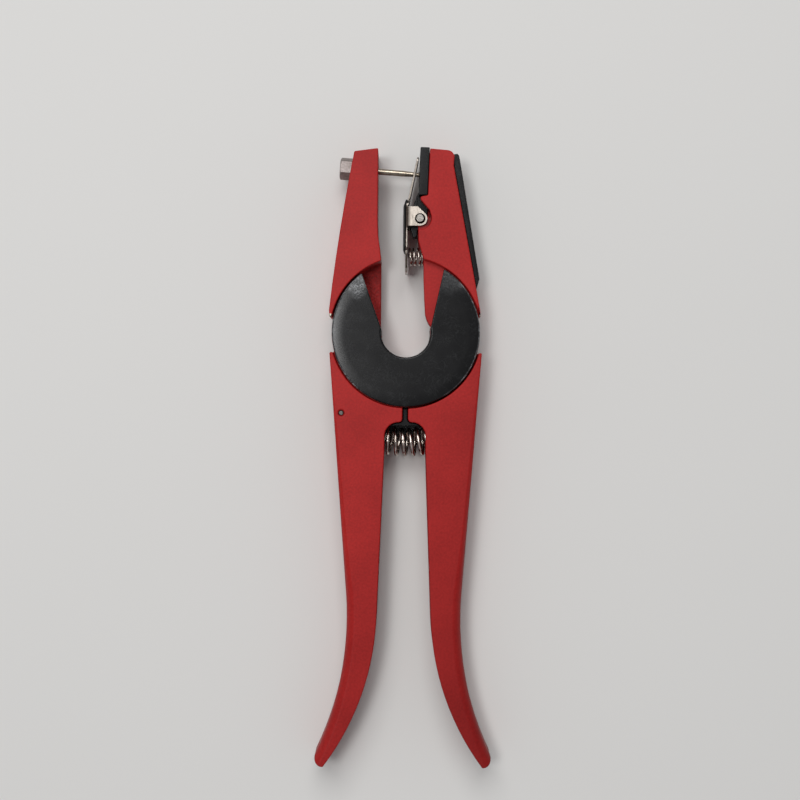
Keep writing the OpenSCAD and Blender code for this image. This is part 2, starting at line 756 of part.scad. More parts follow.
// Strip that snaps over the pocket, with a plug at each end
module spare_pin_cover() {
  plug_l = 3;
  plug_d = 2.5;
  gap = 0.1;
  plug_w = spare_slot_w - 0.4;
  color(black) in_frame() on_strip() {
    translate([0, 0, -strip_half]) linear_extrude(2 * strip_half) polygon([
      [-strip_lead, gap], [-strip_lead, 2.4], [0.8 - strip_lead, 3], [0, 3], [25, 2.5],
      [strip_l - strip_lead, 2.15], [strip_l, gap]
    ]);
    for (x = [spare_slot_start + 0.3, spare_slot_start + spare_slot_l - plug_l - 0.3])
      translate([x, -plug_d, -plug_w / 2]) cube([plug_l, plug_d + 1, plug_w]);
  }
}

// Pawl at rest, swung clear of the tooth
module lock_latch() {
  color("dimgray") in_frame() difference() {
    layer(latch_z) {
      polygon(latch_outline);
      translate(latch_axis) circle(latch_boss_r);
    }
    translate([latch_axis.x, latch_axis.y, 0]) cylinder(h = through, r = latch_pin_d / 2 + hinge_fit);
  }
}

// Dowel with chamfered ends
module latch_pin() {
  r = latch_pin_d / 2;
  ends = [z_back + 0.2, z_front - 0.2];
  chamfer = 0.25;
  color(steel) in_frame() translate([latch_axis.x, latch_axis.y, 0]) rotate_extrude() polygon([
    [0, ends[0]], [r - chamfer, ends[0]], [r, ends[0] + chamfer],
    [r, ends[1] - chamfer], [r - chamfer, ends[1]], [0, ends[1]]
  ]);
}

module latch_spring() {
  length = latch_spring_x[1] - latch_spring_x[0];
  line = coil_line(latch_turns, length, latch_spring_d, latch_wire_d, spring_end_gap);
  echo(latch_spring_least_gap = coil_gap(line, latch_wire_d));
  color(steel) in_frame() translate([latch_spring_x[0], latch_spring_y, (latch_z[0] + latch_z[1]) / 2])
    rotate([0, 90, 0]) coil(line, latch_wire_d);
}

front_lever();
back_lever();
front_cover();
back_cover();
cover_screws();
pivot_bearing();
main_spring();
tag_insert();
tag_clip();
clip_pad();
clip_pin();
clip_pin_ring();
clip_spring();
tag_pin();
pin_nut();
spare_pin();
spare_pin_cover();
lock_latch();
latch_pin();
latch_spring();
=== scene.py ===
"""Looks of the ear tag pliers, shut and lying on their back cover under a soft studio light."""
import logging
import math
from contextlib import contextmanager
from dataclasses import dataclass
from enum import Enum
from typing import Any, Iterator, NamedTuple

import bpy
from mathutils import Matrix, Vector


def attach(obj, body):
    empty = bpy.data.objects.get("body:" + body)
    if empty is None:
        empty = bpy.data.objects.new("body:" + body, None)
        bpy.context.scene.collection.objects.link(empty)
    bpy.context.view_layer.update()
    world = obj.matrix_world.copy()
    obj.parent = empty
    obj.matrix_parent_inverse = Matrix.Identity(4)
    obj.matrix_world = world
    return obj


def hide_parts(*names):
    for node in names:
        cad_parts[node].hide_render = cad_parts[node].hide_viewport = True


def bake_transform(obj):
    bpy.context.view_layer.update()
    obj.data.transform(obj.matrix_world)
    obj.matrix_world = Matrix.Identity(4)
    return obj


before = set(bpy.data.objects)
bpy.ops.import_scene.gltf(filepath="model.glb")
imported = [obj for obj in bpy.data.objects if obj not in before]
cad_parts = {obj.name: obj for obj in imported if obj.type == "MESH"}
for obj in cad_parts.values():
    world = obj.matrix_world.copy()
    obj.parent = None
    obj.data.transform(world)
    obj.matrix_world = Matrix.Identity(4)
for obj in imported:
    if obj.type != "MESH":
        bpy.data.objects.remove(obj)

log = logging.getLogger("pliers")

# A millimetre in metres, then the pivot, mid height and front face in millimetres in the shared frame
MM = 0.001
PIVOT_Y = 50.25
MID_Z = 10.6
FRONT_Z = 20.6

# Colour sockets of a Mix node, whose sockets for numbers and vectors have the same names
MIX_A = 6
MIX_B = 7
MIX_OUT = 2

Material = bpy.types.Material
Socket = bpy.types.NodeSocket
Share = float | Socket
Span = tuple[float, float]
Point = tuple[float, float, float]


class Body(Enum):
    """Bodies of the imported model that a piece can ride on."""

    FRONT = "front"
    BACK = "back"
    CLIP = "clip"
    LATCH = "latch"


class Slot(Enum):
    """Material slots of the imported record."""

    RED = "red_casting"
    NYLON = "black_nylon"
    RUBBER = "black_rubber"
    ZINC = "zinc_steel"
    SPRING = "spring_steel"
    DARK = "dark_steel"


class Ring(NamedTuple):
    """A ring in plan over whose width a finish fades, in millimetres about the pivot, and its strength."""

    x: float
    y: float
    inner: float
    outer: float
    strength: float = 1.0


class WornCorner(NamedTuple):
    """A corner that is worn to the metal, and where its wear fades, in millimetres about the pivot."""

    x: float
    y: float
    z: float
    inner: float
    outer: float


class WideEdge(NamedTuple):
    """Edges between two corners that get a rounding of their own, in millimetres about the pivot."""

    low: Point
    high: Point
    width: float


class Fade(NamedTuple):
    """A share that changes from start to end over a span, in millimetres, of a measure in metres."""

    measure: Socket
    span: Span
    start: float = 1.0
    end: float = 0.0
    soft: bool = False


def linear(code: str) -> tuple[float, float, float, float]:
    """Turn an sRGB hex colour into linear light.

    Args:
        code: Six hex digits.

    Returns:
        Red, green, blue and alpha.
    """
    parts = [int(code[i:i + 2], 16) / 255 for i in (0, 2, 4)]
    light = [p / 12.92 if p <= 0.04045 else ((p + 0.055) / 1.055) ** 2.4 for p in parts]
    return light[0], light[1], light[2], 1.0


def per_mm(size: float) -> float:
    """Give the texture scale whose features are about this many millimetres wide."""
    return 1 / (size * MM)


def spot(x: float, y: float, z: float) -> Vector:
    """Turn a place in millimetres about the pivot into metres in the shared frame."""
    return Vector((x, y + PIVOT_Y, z)) * MM


class Nodes:
    """Shader nodes of a material or of the world, and the coordinates that their patterns read."""

    def __init__(self, tree: bpy.types.NodeTree, coordinates: str = "Object") -> None:
        """Start a node tree afresh.

        Args:
            tree: Node tree of the material or world.
            coordinates: Kind of coordinates that the patterns read.
        """
        tree.nodes.clear()
        self.tree = tree
        self.place = self.add("TexCoord").outputs[coordinates]

    def add(self, kind: str, inputs: dict[int | str, Any] | None = None, **settings: Any) -> bpy.types.Node:
        """Add a node with its settings, values and links.

        Args:
            kind: Node type without the ShaderNode prefix.
            inputs: Sockets by name or number, each with a value or the socket that feeds it.
            settings: Properties of the node.

        Returns:
            The new node.
        """
        made = self.tree.nodes.new("ShaderNode" + kind)
        for key, value in settings.items():
            setattr(made, key, value)
        for key, value in (inputs or {}).items():
            if isinstance(value, Socket):
                self.tree.links.new(value, made.inputs[key])
            else:
                made.inputs[key].default_value = value
        return made

    def far_from(self, x: float, y: float) -> Socket:
        """Measure how far a surface lies, in plan, from one place.

        Args:
            x: Place across the tool, in millimetres about the pivot.
            y: Place along the tool, in millimetres about the pivot.

        Returns:
            Socket with the distance in metres.
        """
        flat = self.add("Mapping", {
            "Vector": self.place, "Location": -spot(x, y, 0), "Scale": (1.0, 1.0, 0.0),
        })
        return self.add("VectorMath", {0: flat.outputs["Vector"]}, operation="LENGTH").outputs["Value"]

    def apart(self, value: Socket, middle: float) -> Socket:
        """Measure how far a value lies from a middle one, on either side.

        Args:
            value: Socket with the value.
            middle: Middle value.

        Returns:
            Socket with the distance.
        """
        shift = self.add("Math", {0: value, 1: middle}, operation="SUBTRACT")
        return self.add("Math", {0: shift.outputs[0]}, operation="ABSOLUTE").outputs[0]

    def off_middle(self) -> Socket:
        """Measure how far a surface lies above or below mid height, in metres."""
        return self.apart(self.add("SeparateXYZ", {"Vector": self.place}).outputs["Z"], MID_Z * MM)

    def faded(self, share: Share, *fades: Fade) -> Socket:
        """Multiply a share by fades, so that it stays only where all of them leave it.

        Args:
            share: Share before the fades.
            fades: Fades over measures of the surface.

        Returns:
            Socket with the share that is left.
        """
        for fade in fades:
            part = self.add("MapRange", {
                "Value": fade.measure, "From Min": fade.span[0] * MM, "From Max": fade.span[1] * MM,
                "To Min": fade.start, "To Max": fade.end,
            }, interpolation_type="SMOOTHSTEP" if fade.soft else "LINEAR")
            share = self.add("Math", {0: share, 1: part.outputs["Result"]}, operation="MULTIPLY").outputs[0]
        return share


def fresh_material(name: str) -> tuple[Material, Nodes]:
    """Make an empty node material.

    Args:
        name: Name of the real material.

    Returns:
        The material and its nodes, whose patterns read Object coordinates.
    """
    material = bpy.data.materials.new(name)
    material.use_nodes = True
    return material, Nodes(material.node_tree)


def deselect() -> None:
    """Leave nothing selected."""
    bpy.ops.object.select_all(action="DESELECT")


def choose(piece: bpy.types.Object) -> None:
    """Make a piece the only selected one and the active one.

    Args:
        piece: Object that is chosen.
    """
    deselect()
    piece.select_set(True)
    bpy.context.view_layer.objects.active = piece


@contextmanager
def edit_mode(piece: bpy.types.Object) -> Iterator[None]:
    """Work on one piece in edit mode, with all of it selected.

    Args:
        piece: Mesh that is edited.
    """
    choose(piece)
    bpy.ops.object.mode_set(mode="EDIT")
    bpy.ops.mesh.select_all(action="SELECT")
    yield
    bpy.ops.object.mode_set(mode="OBJECT")


def apply_modifier(piece: bpy.types.Object, kind: str, **settings: Any) -> None:
    """Add a modifier to a piece and apply it.

    Args:
        piece: Mesh that is changed.
        kind: Modifier type.
        settings: Properties of the modifier.
    """
    choose(piece)
    modifier = piece.modifiers.new(kind.lower(), kind)
    for key, value in settings.items():
        setattr(modifier, key, value)
    bpy.ops.object.modifier_apply(modifier=modifier.name)


def copy_node(node: str, name: str) -> bpy.types.Object:
    """Copy a CAD solid into a new merged mesh.

    Args:
        node: Name of the CAD node.
        name: Name of the new piece.

    Returns:
        The new piece.
    """
    piece = bpy.data.objects.new(name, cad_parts[node].data.copy())
    bpy.context.scene.collection.objects.link(piece)
    piece.data.materials.clear()
    choose(piece)
    bpy.ops.mesh.customdata_custom_splitnormals_clear()
    with edit_mode(piece):
        bpy.ops.mesh.remove_doubles(threshold=0.002 * MM)
        bpy.ops.mesh.dissolve_limited(angle_limit=math.radians(0.4))
    return piece


def inside_box(place: Vector, low: Vector, high: Vector) -> bool:
    """Tell whether a place lies between two corners."""
    return all(a <= p <= b for a, p, b in zip(low, place, high))


def smooth(piece: bpy.types.Object, angle: float = 40) -> None:
    """Smooth a piece, with flat faces kept flat.

    Args:
        piece: Mesh that is changed.
        angle: Angle from which an edge stays sharp, in degrees.
    """
    choose(piece)
    bpy.ops.object.shade_smooth_by_angle(angle=math.radians(angle))
    apply_modifier(piece, "WEIGHTED_NORMAL", weight=60, keep_sharp=True)


def soften(
    piece: bpy.types.Object, width: float, segments: int = 3, sharp: float = 32,
    keep_off: tuple[Point, ...] = (), wide: WideEdge | None = None,
) -> None:
    """Round the sharp edges of a piece and smooth its faces.

    Args:
        piece: Mesh that is changed.
        width: Size of the rounding in millimetres.
        segments: Faces across the rounding.
        sharp: Angle from which an edge counts as sharp, in degrees.
        keep_off: Circles in plan, each a place and a reach in millimetres about the pivot, whose
            edges stay as they are.
        wide: Edges that get a rounding of their own.
    """
    with edit_mode(piece):
        bpy.ops.mesh.select_mode(type="EDGE")
        bpy.ops.mesh.select_all(action="DESELECT")
        bpy.ops.mesh.edges_select_sharp(sharpness=math.radians(sharp))
    circles = [(spot(x, y, 0).to_2d(), reach * MM) for x, y, reach in keep_off]
    most = max(width, wide.width) if wide else width
    weights = piece.data.attributes.new("bevel_weight_edge", "FLOAT", "EDGE")
    for edge, weight in zip(piece.data.edges, weights.data):
        ends = [piece.data.vertices[i].co for i in edge.vertices]
        near = any((end.to_2d() - centre).length < reach for end in ends for centre, reach in circles)
        inside = wide is not None and all(inside_box(end, spot(*wide.low), spot(*wide.high)) for end in ends)
        weight.value = float(edge.select and not near) * (1 if inside else width / most)
    apply_modifier(
        piece, "BEVEL", width=most * MM, segments=segments, limit_method="WEIGHT",
        use_clamp_overlap=False, miter_outer="MITER_ARC",
    )
    smooth(piece)


def settle(
    piece: bpy.types.Object, node: str, material: Material, body: Body | None,
) -> None:
    """Give a piece its finish and the body that it rides on, and hide its CAD node.

    Args:
        piece: Finished mesh.
        node: CAD node that the piece stands for.
        material: Finish of the piece.
        body: Body that carries the piece, or None to leave it unattached.
    """
    piece.data.materials.clear()
    piece.data.materials.append(material)
    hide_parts(node)
    if body is not None:
        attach(piece, body.value)
    log.info("%s: %d faces, %s", piece.name, len(piece.data.polygons), material.name)


def dress(
    node: str, name: str, slot: Slot, material: Material, body: Body, width: float, **edges: Any,
) -> None:
    """Copy a CAD solid into a new piece, round its edges and settle it.

    Args:
        node: CAD node that the piece stands for.
        name: Name of the piece.
        slot: Material slot of the record. Not used.
        material: Finish of the piece.
        body: Body that carries the piece.
        width: Size of the rounding in millimetres.
        edges: Further settings of the rounding.
    """
    piece = copy_node(node, name)
    soften(piece, width, **edges)
    settle(piece, node, material, body)


@dataclass(frozen=True)
class PowderCoat:
    """Satin polyester powder coat on an aluminium die-casting, baked on after casting; sizes in mm."""

    red: str = "B02624"
    deep_red: str = "981D1C"
    bare: str = "C9BFB0"
    # The next tone is the painted shade in the hinge pocket and in the latch pin's mouth
    painted_shade_tone: str = "1C1211"
    roughness: Span = (0.39, 0.53)
    level: float = 0.15
    ior: float = 1.5
    peel: float = 0.9
    cloud: float = 22
    cast: float = 0.75
    blotch: float = 1.5
    ragged: float = 0.7
    cast_ring: Span = (29.8, 30.8)
    cast_height: Span = (1, 1.6)
    parting: Span = (0.08, 0.3)
    worn: tuple[WornCorner, ...] = (
        WornCorner(-30.4, 6.6, 20.2, 0.36, 1.44), WornCorner(29.9, 7.3, 20.2, 0.24, 0.96),
    )
    # Painted shade: the red darkens along this slope towards the ends of the grips, more on the right
    grip_shade_fall: Point = (3.5, -2.2, 0.0)
    grip_shade_range: Span = (-0.05, 0.45)
    grip_shade_tint: str = "BCAEAE"
    # Painted shade in the pocket of the clip's hinge and in the mouth of the latch pin
    hinge: Ring = Ring(6.3, 48.2, 4.5, 6.5)
    hinge_top: Span = (9.0, 9.4)
    latch_mouth: Ring = Ring(-25.8, -32.5, 1.3, 1.6)
    mouth_top: Span = (9.65, 10.05)

    def painted_grip_shade(self, nodes: Nodes) -> Socket:
        """Measure how much painted shade a place gets, from none at the jaws to most at the ends of the
        grips, more on the right.

        Args:
            nodes: Nodes of the material.

        Returns:
            Socket from zero to one.
        """
        along = nodes.add("VectorMath", {0: nodes.place, 1: self.grip_shade_fall}, operation="DOT_PRODUCT")
        return nodes.add("MapRange", {
            "Value": along.outputs["Value"], "From Min": self.grip_shade_range[0], "From Max": self.grip_shade_range[1],
        }).outputs["Result"]

    def coloured(self, nodes: Nodes, peel: Socket) -> Socket:
        """Mix the red, clouded as the powder lies, with painted shade that darkens it towards the ends of
        the grips.

        Args:
            nodes: Nodes of the material.
            peel: Socket with the height of the orange peel.

        Returns:
            Socket with the colour.
        """
        cloud = nodes.add("TexNoise", {"Vector": nodes.place, "Scale": per_mm(self.cloud), "Detail": 3.0})
        both = nodes.add("Math", {0: cloud.outputs["Fac"], 1: peel}, operation="ADD")
        tint = nodes.add("MapRange", {"Value": both.outputs[0], "From Min": 0.7, "From Max": 1.3})
        paint = nodes.add("Mix", {
            "Factor": tint.outputs["Result"], MIX_A: linear(self.deep_red), MIX_B: linear(self.red),
        }, data_type="RGBA")
        return nodes.add("Mix", {
            "Factor": self.painted_grip_shade(nodes), MIX_A: paint.outputs[MIX_OUT], MIX_B: linear(self.grip_shade_tint),
        }, data_type="RGBA", blend_type="MULTIPLY").outputs[MIX_OUT]

    def painted_pocket_shade(self, nodes: Nodes, colour: Socket) -> Socket:
        """Paint dark shade, in blotches, into the pocket of the clip's hinge and into the mouth of the latch
        pin.

        Args:
            nodes: Nodes of the material.
            colour: Socket with the colour of the paint.

        Returns:
            Socket with the soiled colour.
        """
        blotch = nodes.add("TexNoise", {"Vector": nodes.place, "Scale": per_mm(self.blotch), "Detail": 3.0})
        shade_amount = nodes.add("MapRange", {
            "Value": blotch.outputs["Fac"], "From Min": 0.3, "From Max": 0.6, "To Min": 0.2, "To Max": 0.75,
        })
        for ring, top in ((self.hinge, self.hinge_top), (self.latch_mouth, self.mouth_top)):
            around = Fade(nodes.far_from(ring.x, ring.y), (ring.inner, ring.outer), soft=True)
            laid = nodes.faded(shade_amount.outputs["Result"], around, Fade(nodes.off_middle(), top))
            colour = nodes.add("Mix", {
                "Factor": laid, MIX_A: colour, MIX_B: linear(self.painted_shade_tone),
            }, data_type="RGBA").outputs[MIX_OUT]
        return colour

    def rubbed(self, nodes: Nodes) -> Share:
        """Find the corners that are rubbed through to the metal, with a ragged edge.

        Args:
            nodes: Nodes of the material.

        Returns:
            Socket that is one on bare metal.
        """
        ragged = nodes.add("TexNoise", {"Vector": nodes.place, "Scale": per_mm(self.ragged), "Detail": 3.0})
        bare: Share = 0.0
        for x, y, z, inner, outer in self.worn:
            near = nodes.add("VectorMath", {0: nodes.place, 1: spot(x, y, z)}, operation="DISTANCE")
            patch = nodes.add("MapRange", {
                "Value": near.outputs["Value"], "From Min": inner * MM, "From Max": outer * MM,
                "To Min": 0.75, "To Max": -0.25,
            })
            whole = nodes.add("Math", {
                0: patch.outputs["Result"], 1: ragged.outputs["Fac"],
            }, operation="ADD")
            edge = nodes.add("MapRange", {"Value": whole.outputs[0], "From Min": 0.72, "From Max": 0.78})
            bare = nodes.add("Math", {0: bare, 1: edge.outputs["Result"]}, operation="MAXIMUM").outputs[0]
        return bare

    def relief(self, nodes: Nodes, peel: Socket, cast: Socket) -> Socket:
        """Shape the fine relief: orange peel, the die's parting line and the rough inner faces.

        Args:
            nodes: Nodes of the material.
            peel: Socket with the height of the orange peel.
            cast: Socket that is one on the rough inner faces.

        Returns:
            Socket with the bent normal.
        """
        peel_bump = nodes.add("Bump", {"Height": peel, "Strength": 0.4, "Distance": 0.06 * MM})
        line_bump = nodes.add("Bump", {
            "Height": nodes.faded(1.0, Fade(nodes.off_middle(), self.parting, soft=True)),
            "Strength": 0.8, "Distance": 0.15 * MM, "Normal": peel_bump.outputs["Normal"],
        })
        lumps = nodes.add("TexNoise", {"Vector": nodes.place, "Scale": per_mm(self.cast), "Detail": 4.0})
        rough = nodes.add("Math", {0: lumps.outputs["Fac"], 1: cast}, operation="MULTIPLY")
        return nodes.add("Bump", {
            "Height": rough.outputs[0], "Strength": 0.7, "Distance": 0.6 * MM,
            "Normal": line_bump.outputs["Normal"],
        }).outputs["Normal"]

    def material(self) -> Material:
        """Build the finish.

        Returns:
            Even red with a fine orange peel, a broad soft sheen, a parting line at mid height, painted
            shade around the hinge, in the ring recess and towards the grips, and bare metal at the two
            corners that rub.
        """
        # Powder coat: an even red with a broad soft sheen and shallow hollows about a millimetre wide
        made, nodes = fresh_material("red_powder_coat_on_die_cast_aluminium")
        peel = nodes.add("TexNoise", {"Vector": nodes.place, "Scale": per_mm(self.peel), "Detail": 2.0})
        sheen = nodes.add("MapRange", {
            "Value": peel.outputs["Fac"], "To Min": self.roughness[0], "To Max": self.roughness[1],
        })
        # The rough inner faces of the half rings lie deep in the recess: painted shade darkens them, mottled
        # at random
        cast = nodes.faded(
            1.0, Fade(nodes.far_from(0, 0), self.cast_ring), Fade(nodes.off_middle(), self.cast_height),
        )
        mottle = nodes.add("TexNoise", {"Vector": nodes.place, "Scale": per_mm(self.cast), "Detail": 4.0})
        cover = nodes.add("MapRange", {
            "Value": mottle.outputs["Fac"], "From Min": 0.35, "From Max": 0.65,
            "To Min": 0.5, "To Max": 0.85,
        })
        recess_shade_and_mottle = nodes.add("MapRange", {"Value": cast, "To Min": 1.0, "To Max": cover.outputs["Result"]})
        paint = nodes.add("VectorMath", {
            0: self.coloured(nodes, peel.outputs["Fac"]), "Scale": recess_shade_and_mottle.outputs["Result"],
        }, operation="SCALE")
        bare = self.rubbed(nodes)
        colour = nodes.add("Mix", {
            "Factor": bare, MIX_A: self.painted_pocket_shade(nodes, paint.outputs["Vector"]), MIX_B: linear(self.bare),
        }, data_type="RGBA")
        shader = nodes.add("BsdfPrincipled", {
            "Base Color": colour.outputs[MIX_OUT], "Metallic": bare, "Roughness": sheen.outputs["Result"],
            "Normal": self.relief(nodes, peel.outputs["Fac"], cast), "IOR": self.ior,
            "Specular IOR Level": self.level,
        })
        nodes.add("OutputMaterial", {"Surface": shader.outputs["BSDF"]})
        return made


@dataclass(frozen=True)
class MouldedNylon:
    """Black nylon, injection moulded in a polished tool; sizes in mm."""

    black: str = "0F0F10"
    grey: str = "111112"
    # The next tone is the pale of the painted sheen and of the scratches
    paler: str = "B4B6B8"
    tone_stops: Span = (0.35, 0.7)
    roughness: Span = (0.23, 0.26)
    level: float = 0.22
    ior: float = 1.53
    grain: float = 0.5
    cloud: float = 9
    wander: float = 2.5
    curls: Span = (4, 2.4)
    broken: float = 5
    grit: float = 0.6
    # Spots on the horns with a painted pale sheen, where scratches gather too
    sheen_and_scratch_spots: tuple[Ring, ...] = (
        Ring(-19.4, 18, 0.56, 5.6, 0.8), Ring(-17.2, 21.6, 0.55, 5.5, 0.8), Ring(18.5, 22, 0.8, 8, 0.34),
    )
    # Left rim: painted pale sheen from the light on the left; rim edge: painted highlight and wear
    rim: Span = (27.4, 29.6)
    rim_strength: float = 0.4
    rim_left: Span = (-24, -14)
    rim_along: Span = (2, 11)
    rim_ends: float = 0.1
    edge: Span = (29.1, 29.6)
    edge_sides: Span = (12, 22)
    outer_face: Span = (9.4, 10.1)

    def patches(self, nodes: Nodes, wander: Socket) -> Share:
        """Find the spots on the horns of the covers that get a painted sheen and scratches, with a ragged
        border.

        Args:
            nodes: Nodes of the material.
            wander: Socket with an uneven value that breaks up the border.

        Returns:
            Socket with how strongly a place is painted pale.
        """
        shift = nodes.add("MapRange", {
            "Value": wander, "From Min": 0.25, "From Max": 0.75, "To Min": -1.5 * MM, "To Max": 1.5 * MM,
        })
        zone: Share = 0.0
        for x, y, inner, outer, strength in self.sheen_and_scratch_spots:
            ragged = nodes.add("Math", {
                0: nodes.far_from(x, y), 1: shift.outputs["Result"],
            }, operation="ADD")
            near = nodes.faded(strength, Fade(ragged.outputs[0], (inner, outer), soft=True))
            zone = nodes.add("Math", {0: zone, 1: near}, operation="MAXIMUM").outputs[0]
        return zone

    def rims(self, nodes: Nodes, wander: Socket) -> tuple[Socket, Socket]:
        """Find the rims of the covers that are painted pale.

        Args:
            nodes: Nodes of the material.
            wander: Socket with an uneven value that breaks up the worn line.

        Returns:
            Sockets with how strongly the left rim and the edges of both sides are painted pale.
        """
        out = nodes.far_from(0, 0)
        axes = nodes.add("SeparateXYZ", {"Vector": nodes.place})
        # Rim of the left side, painted paler as a sheen that stands for the light from the left
        rim = nodes.faded(
            self.rim_strength, Fade(out, self.rim, 0.0, 1.0, soft=True),
            Fade(axes.outputs["X"], self.rim_left),
            Fade(nodes.apart(axes.outputs["Y"], PIVOT_Y * MM), self.rim_along, end=self.rim_ends, soft=True),
        )
        # Edge on both sides, a thin uneven pale line: painted highlight on the rounded edge, and wear
        patchy = nodes.add("MapRange", {
            "Value": wander, "From Min": 0.3, "From Max": 0.7, "To Min": 0.3, "To Max": 0.8,
        })
        line = nodes.faded(
            patchy.outputs["Result"], Fade(out, self.edge, 0.0, 1.0, soft=True),
            Fade(nodes.apart(axes.outputs["X"], 0.0), self.edge_sides, 0.0, 1.0, soft=True),
        )
        return rim, line

    def hairlines(self, nodes: Nodes) -> Socket:
        """Draw curled scratches along the level lines of a slow noise, as wide as they need to show.

        Args:
            nodes: Nodes of the material.

        Returns:
            Socket that is one on a scratch.
        """
        lines: Share = 0.0
        for size in self.curls:
            slow = nodes.add("TexNoise", {
                "Vector": nodes.place, "Scale": per_mm(size), "Detail": 1.0, "Distortion": 1.5,
            })
            hair = nodes.add("MapRange", {
                "Value": nodes.apart(slow.outputs["Fac"], 0.5), "From Min": 0.008, "From Max": 0.03,
                "To Min": 1.0, "To Max": 0.0,
            })
            lines = nodes.add("Math", {0: lines, 1: hair.outputs["Result"]}, operation="MAXIMUM").outputs[0]
        broken = nodes.add("TexNoise", {"Vector": nodes.place, "Scale": per_mm(self.broken), "Detail": 2.0})
        kept = nodes.add("MapRange", {"Value": broken.outputs["Fac"], "From Min": 0.42, "From Max": 0.56})
        return nodes.add("Math", {0: lines, 1: kept.outputs["Result"]}, operation="MULTIPLY").outputs[0]

    def scratches_and_painted_sheen(self, nodes: Nodes) -> Socket:
        """Scratch the covers and paint a pale sheen on their horns and rims.

        Args:
            nodes: Nodes of the material.

        Returns:
            Socket with the share of the surface that is painted pale, as sheen and as scratches.
        """
        uneven = nodes.add("TexNoise", {"Vector": nodes.place, "Scale": per_mm(self.wander), "Detail": 3.0})
        zone = self.patches(nodes, uneven.outputs["Fac"])
        for worn in self.rims(nodes, uneven.outputs["Fac"]):
            zone = nodes.add("Math", {0: zone, 1: worn}, operation="MAXIMUM").outputs[0]
        # Only the outer faces get the painted sheen and scratches, not the walls of the rims
        zone = nodes.faded(zone, Fade(nodes.off_middle(), self.outer_face, 0.0, 1.0))
        dense = nodes.add("MapRange", {"Value": zone, "To Min": 0.02, "To Max": 0.75})
        drawn = nodes.add("Math", {
            0: self.hairlines(nodes), 1: dense.outputs["Result"],
        }, operation="MULTIPLY")
        speckle = nodes.add("TexNoise", {"Vector": nodes.place, "Scale": per_mm(self.grit), "Detail": 2.0})
        grit = nodes.add("MapRange", {
            "Value": speckle.outputs["Fac"], "From Min": 0.35, "From Max": 0.7,
            "To Min": 0.12, "To Max": 0.4,
        })
        # Painted sheen: a pale speckled haze over the horns and rims
        painted_haze = nodes.add("Math", {0: zone, 1: grit.outputs["Result"]}, operation="MULTIPLY")
        return nodes.add("Math", {0: drawn.outputs[0], 1: painted_haze.outputs[0]}, operation="ADD").outputs[0]

    def material(self) -> Material:
        """Build the finish.

        Returns:
            Near black with a clear sheen, a fine grain, hairline scratches, and a painted pale sheen on the
            horns and rims.
        """
        # Nylon from a polished tool: near black with a clear sheen that scratches break up
        made, nodes = fresh_material("moulded_black_nylon")
        # The grain of the mould is too fine to show, so it is drawn as coarse as it needs to show
        grain = nodes.add("TexNoise", {"Vector": nodes.place, "Scale": per_mm(self.grain), "Detail": 2.0})
        cloud = nodes.add("TexNoise", {"Vector": nodes.place, "Scale": per_mm(self.cloud), "Detail": 4.0})
        tint = nodes.add("ValToRGB", {"Fac": cloud.outputs["Fac"]})
        for stop, at, code in zip(tint.color_ramp.elements, self.tone_stops, (self.black, self.grey)):
            stop.position = at
            stop.color = linear(code)
        pale = nodes.add("Mix", {
            "Factor": self.scratches_and_painted_sheen(nodes), MIX_A: tint.outputs["Color"], MIX_B: linear(self.paler),
        }, data_type="RGBA")
        sheen = nodes.add("MapRange", {
            "Value": cloud.outputs["Fac"], "From Min": 0.3, "From Max": 0.7,
            "To Min": self.roughness[0], "To Max": self.roughness[1],
        })
        bump = nodes.add("Bump", {"Height": grain.outputs["Fac"], "Strength": 0.2, "Distance": 0.02 * MM})
        shader = nodes.add("BsdfPrincipled", {
            "Base Color": pale.outputs[MIX_OUT], "Roughness": sheen.outputs["Result"], "IOR": self.ior,
            "Specular IOR Level": self.level, "Normal": bump.outputs["Normal"],
        })
        nodes.add("OutputMaterial", {"Surface": shader.outputs["BSDF"]})
        return made


@dataclass(frozen=True)
class SheetRubber:
    """Smooth cut rubber, pressed from a black sheet; sizes in mm."""

    black: str = "0F0E0E"
    bloom: str = "171515"
    tone_stops: Span = (0.4, 0.75)
    roughness: float = 0.55
    level: float = 0.25
    ior: float = 1.52
    dust: float = 3

    def material(self) -> Material:
        """Build the finish.

        Returns:
            Soft black with a dusty bloom and a low sheen.
        """
        # Rubber: a soft black that mirrors almost nothing, with a dusty bloom
        made, nodes = fresh_material("pressed_black_rubber")
        dust = nodes.add("TexNoise", {"Vector": nodes.place, "Scale": per_mm(self.dust), "Detail": 5.0})
        tint = nodes.add("ValToRGB", {"Fac": dust.outputs["Fac"]})
        for stop, at, code in zip(tint.color_ramp.elements, self.tone_stops, (self.black, self.bloom)):
            stop.position = at
            stop.color = linear(code)
        bump = nodes.add("Bump", {"Height": dust.outputs["Fac"], "Strength": 0.2, "Distance": 0.05 * MM})
        shader = nodes.add("BsdfPrincipled", {
            "Base Color": tint.outputs["Color"], "Roughness": self.roughness, "IOR": self.ior,
            "Specular IOR Level": self.level, "Normal": bump.outputs["Normal"],
        })
        nodes.add("OutputMaterial", {"Surface": shader.outputs["BSDF"]})
        return made


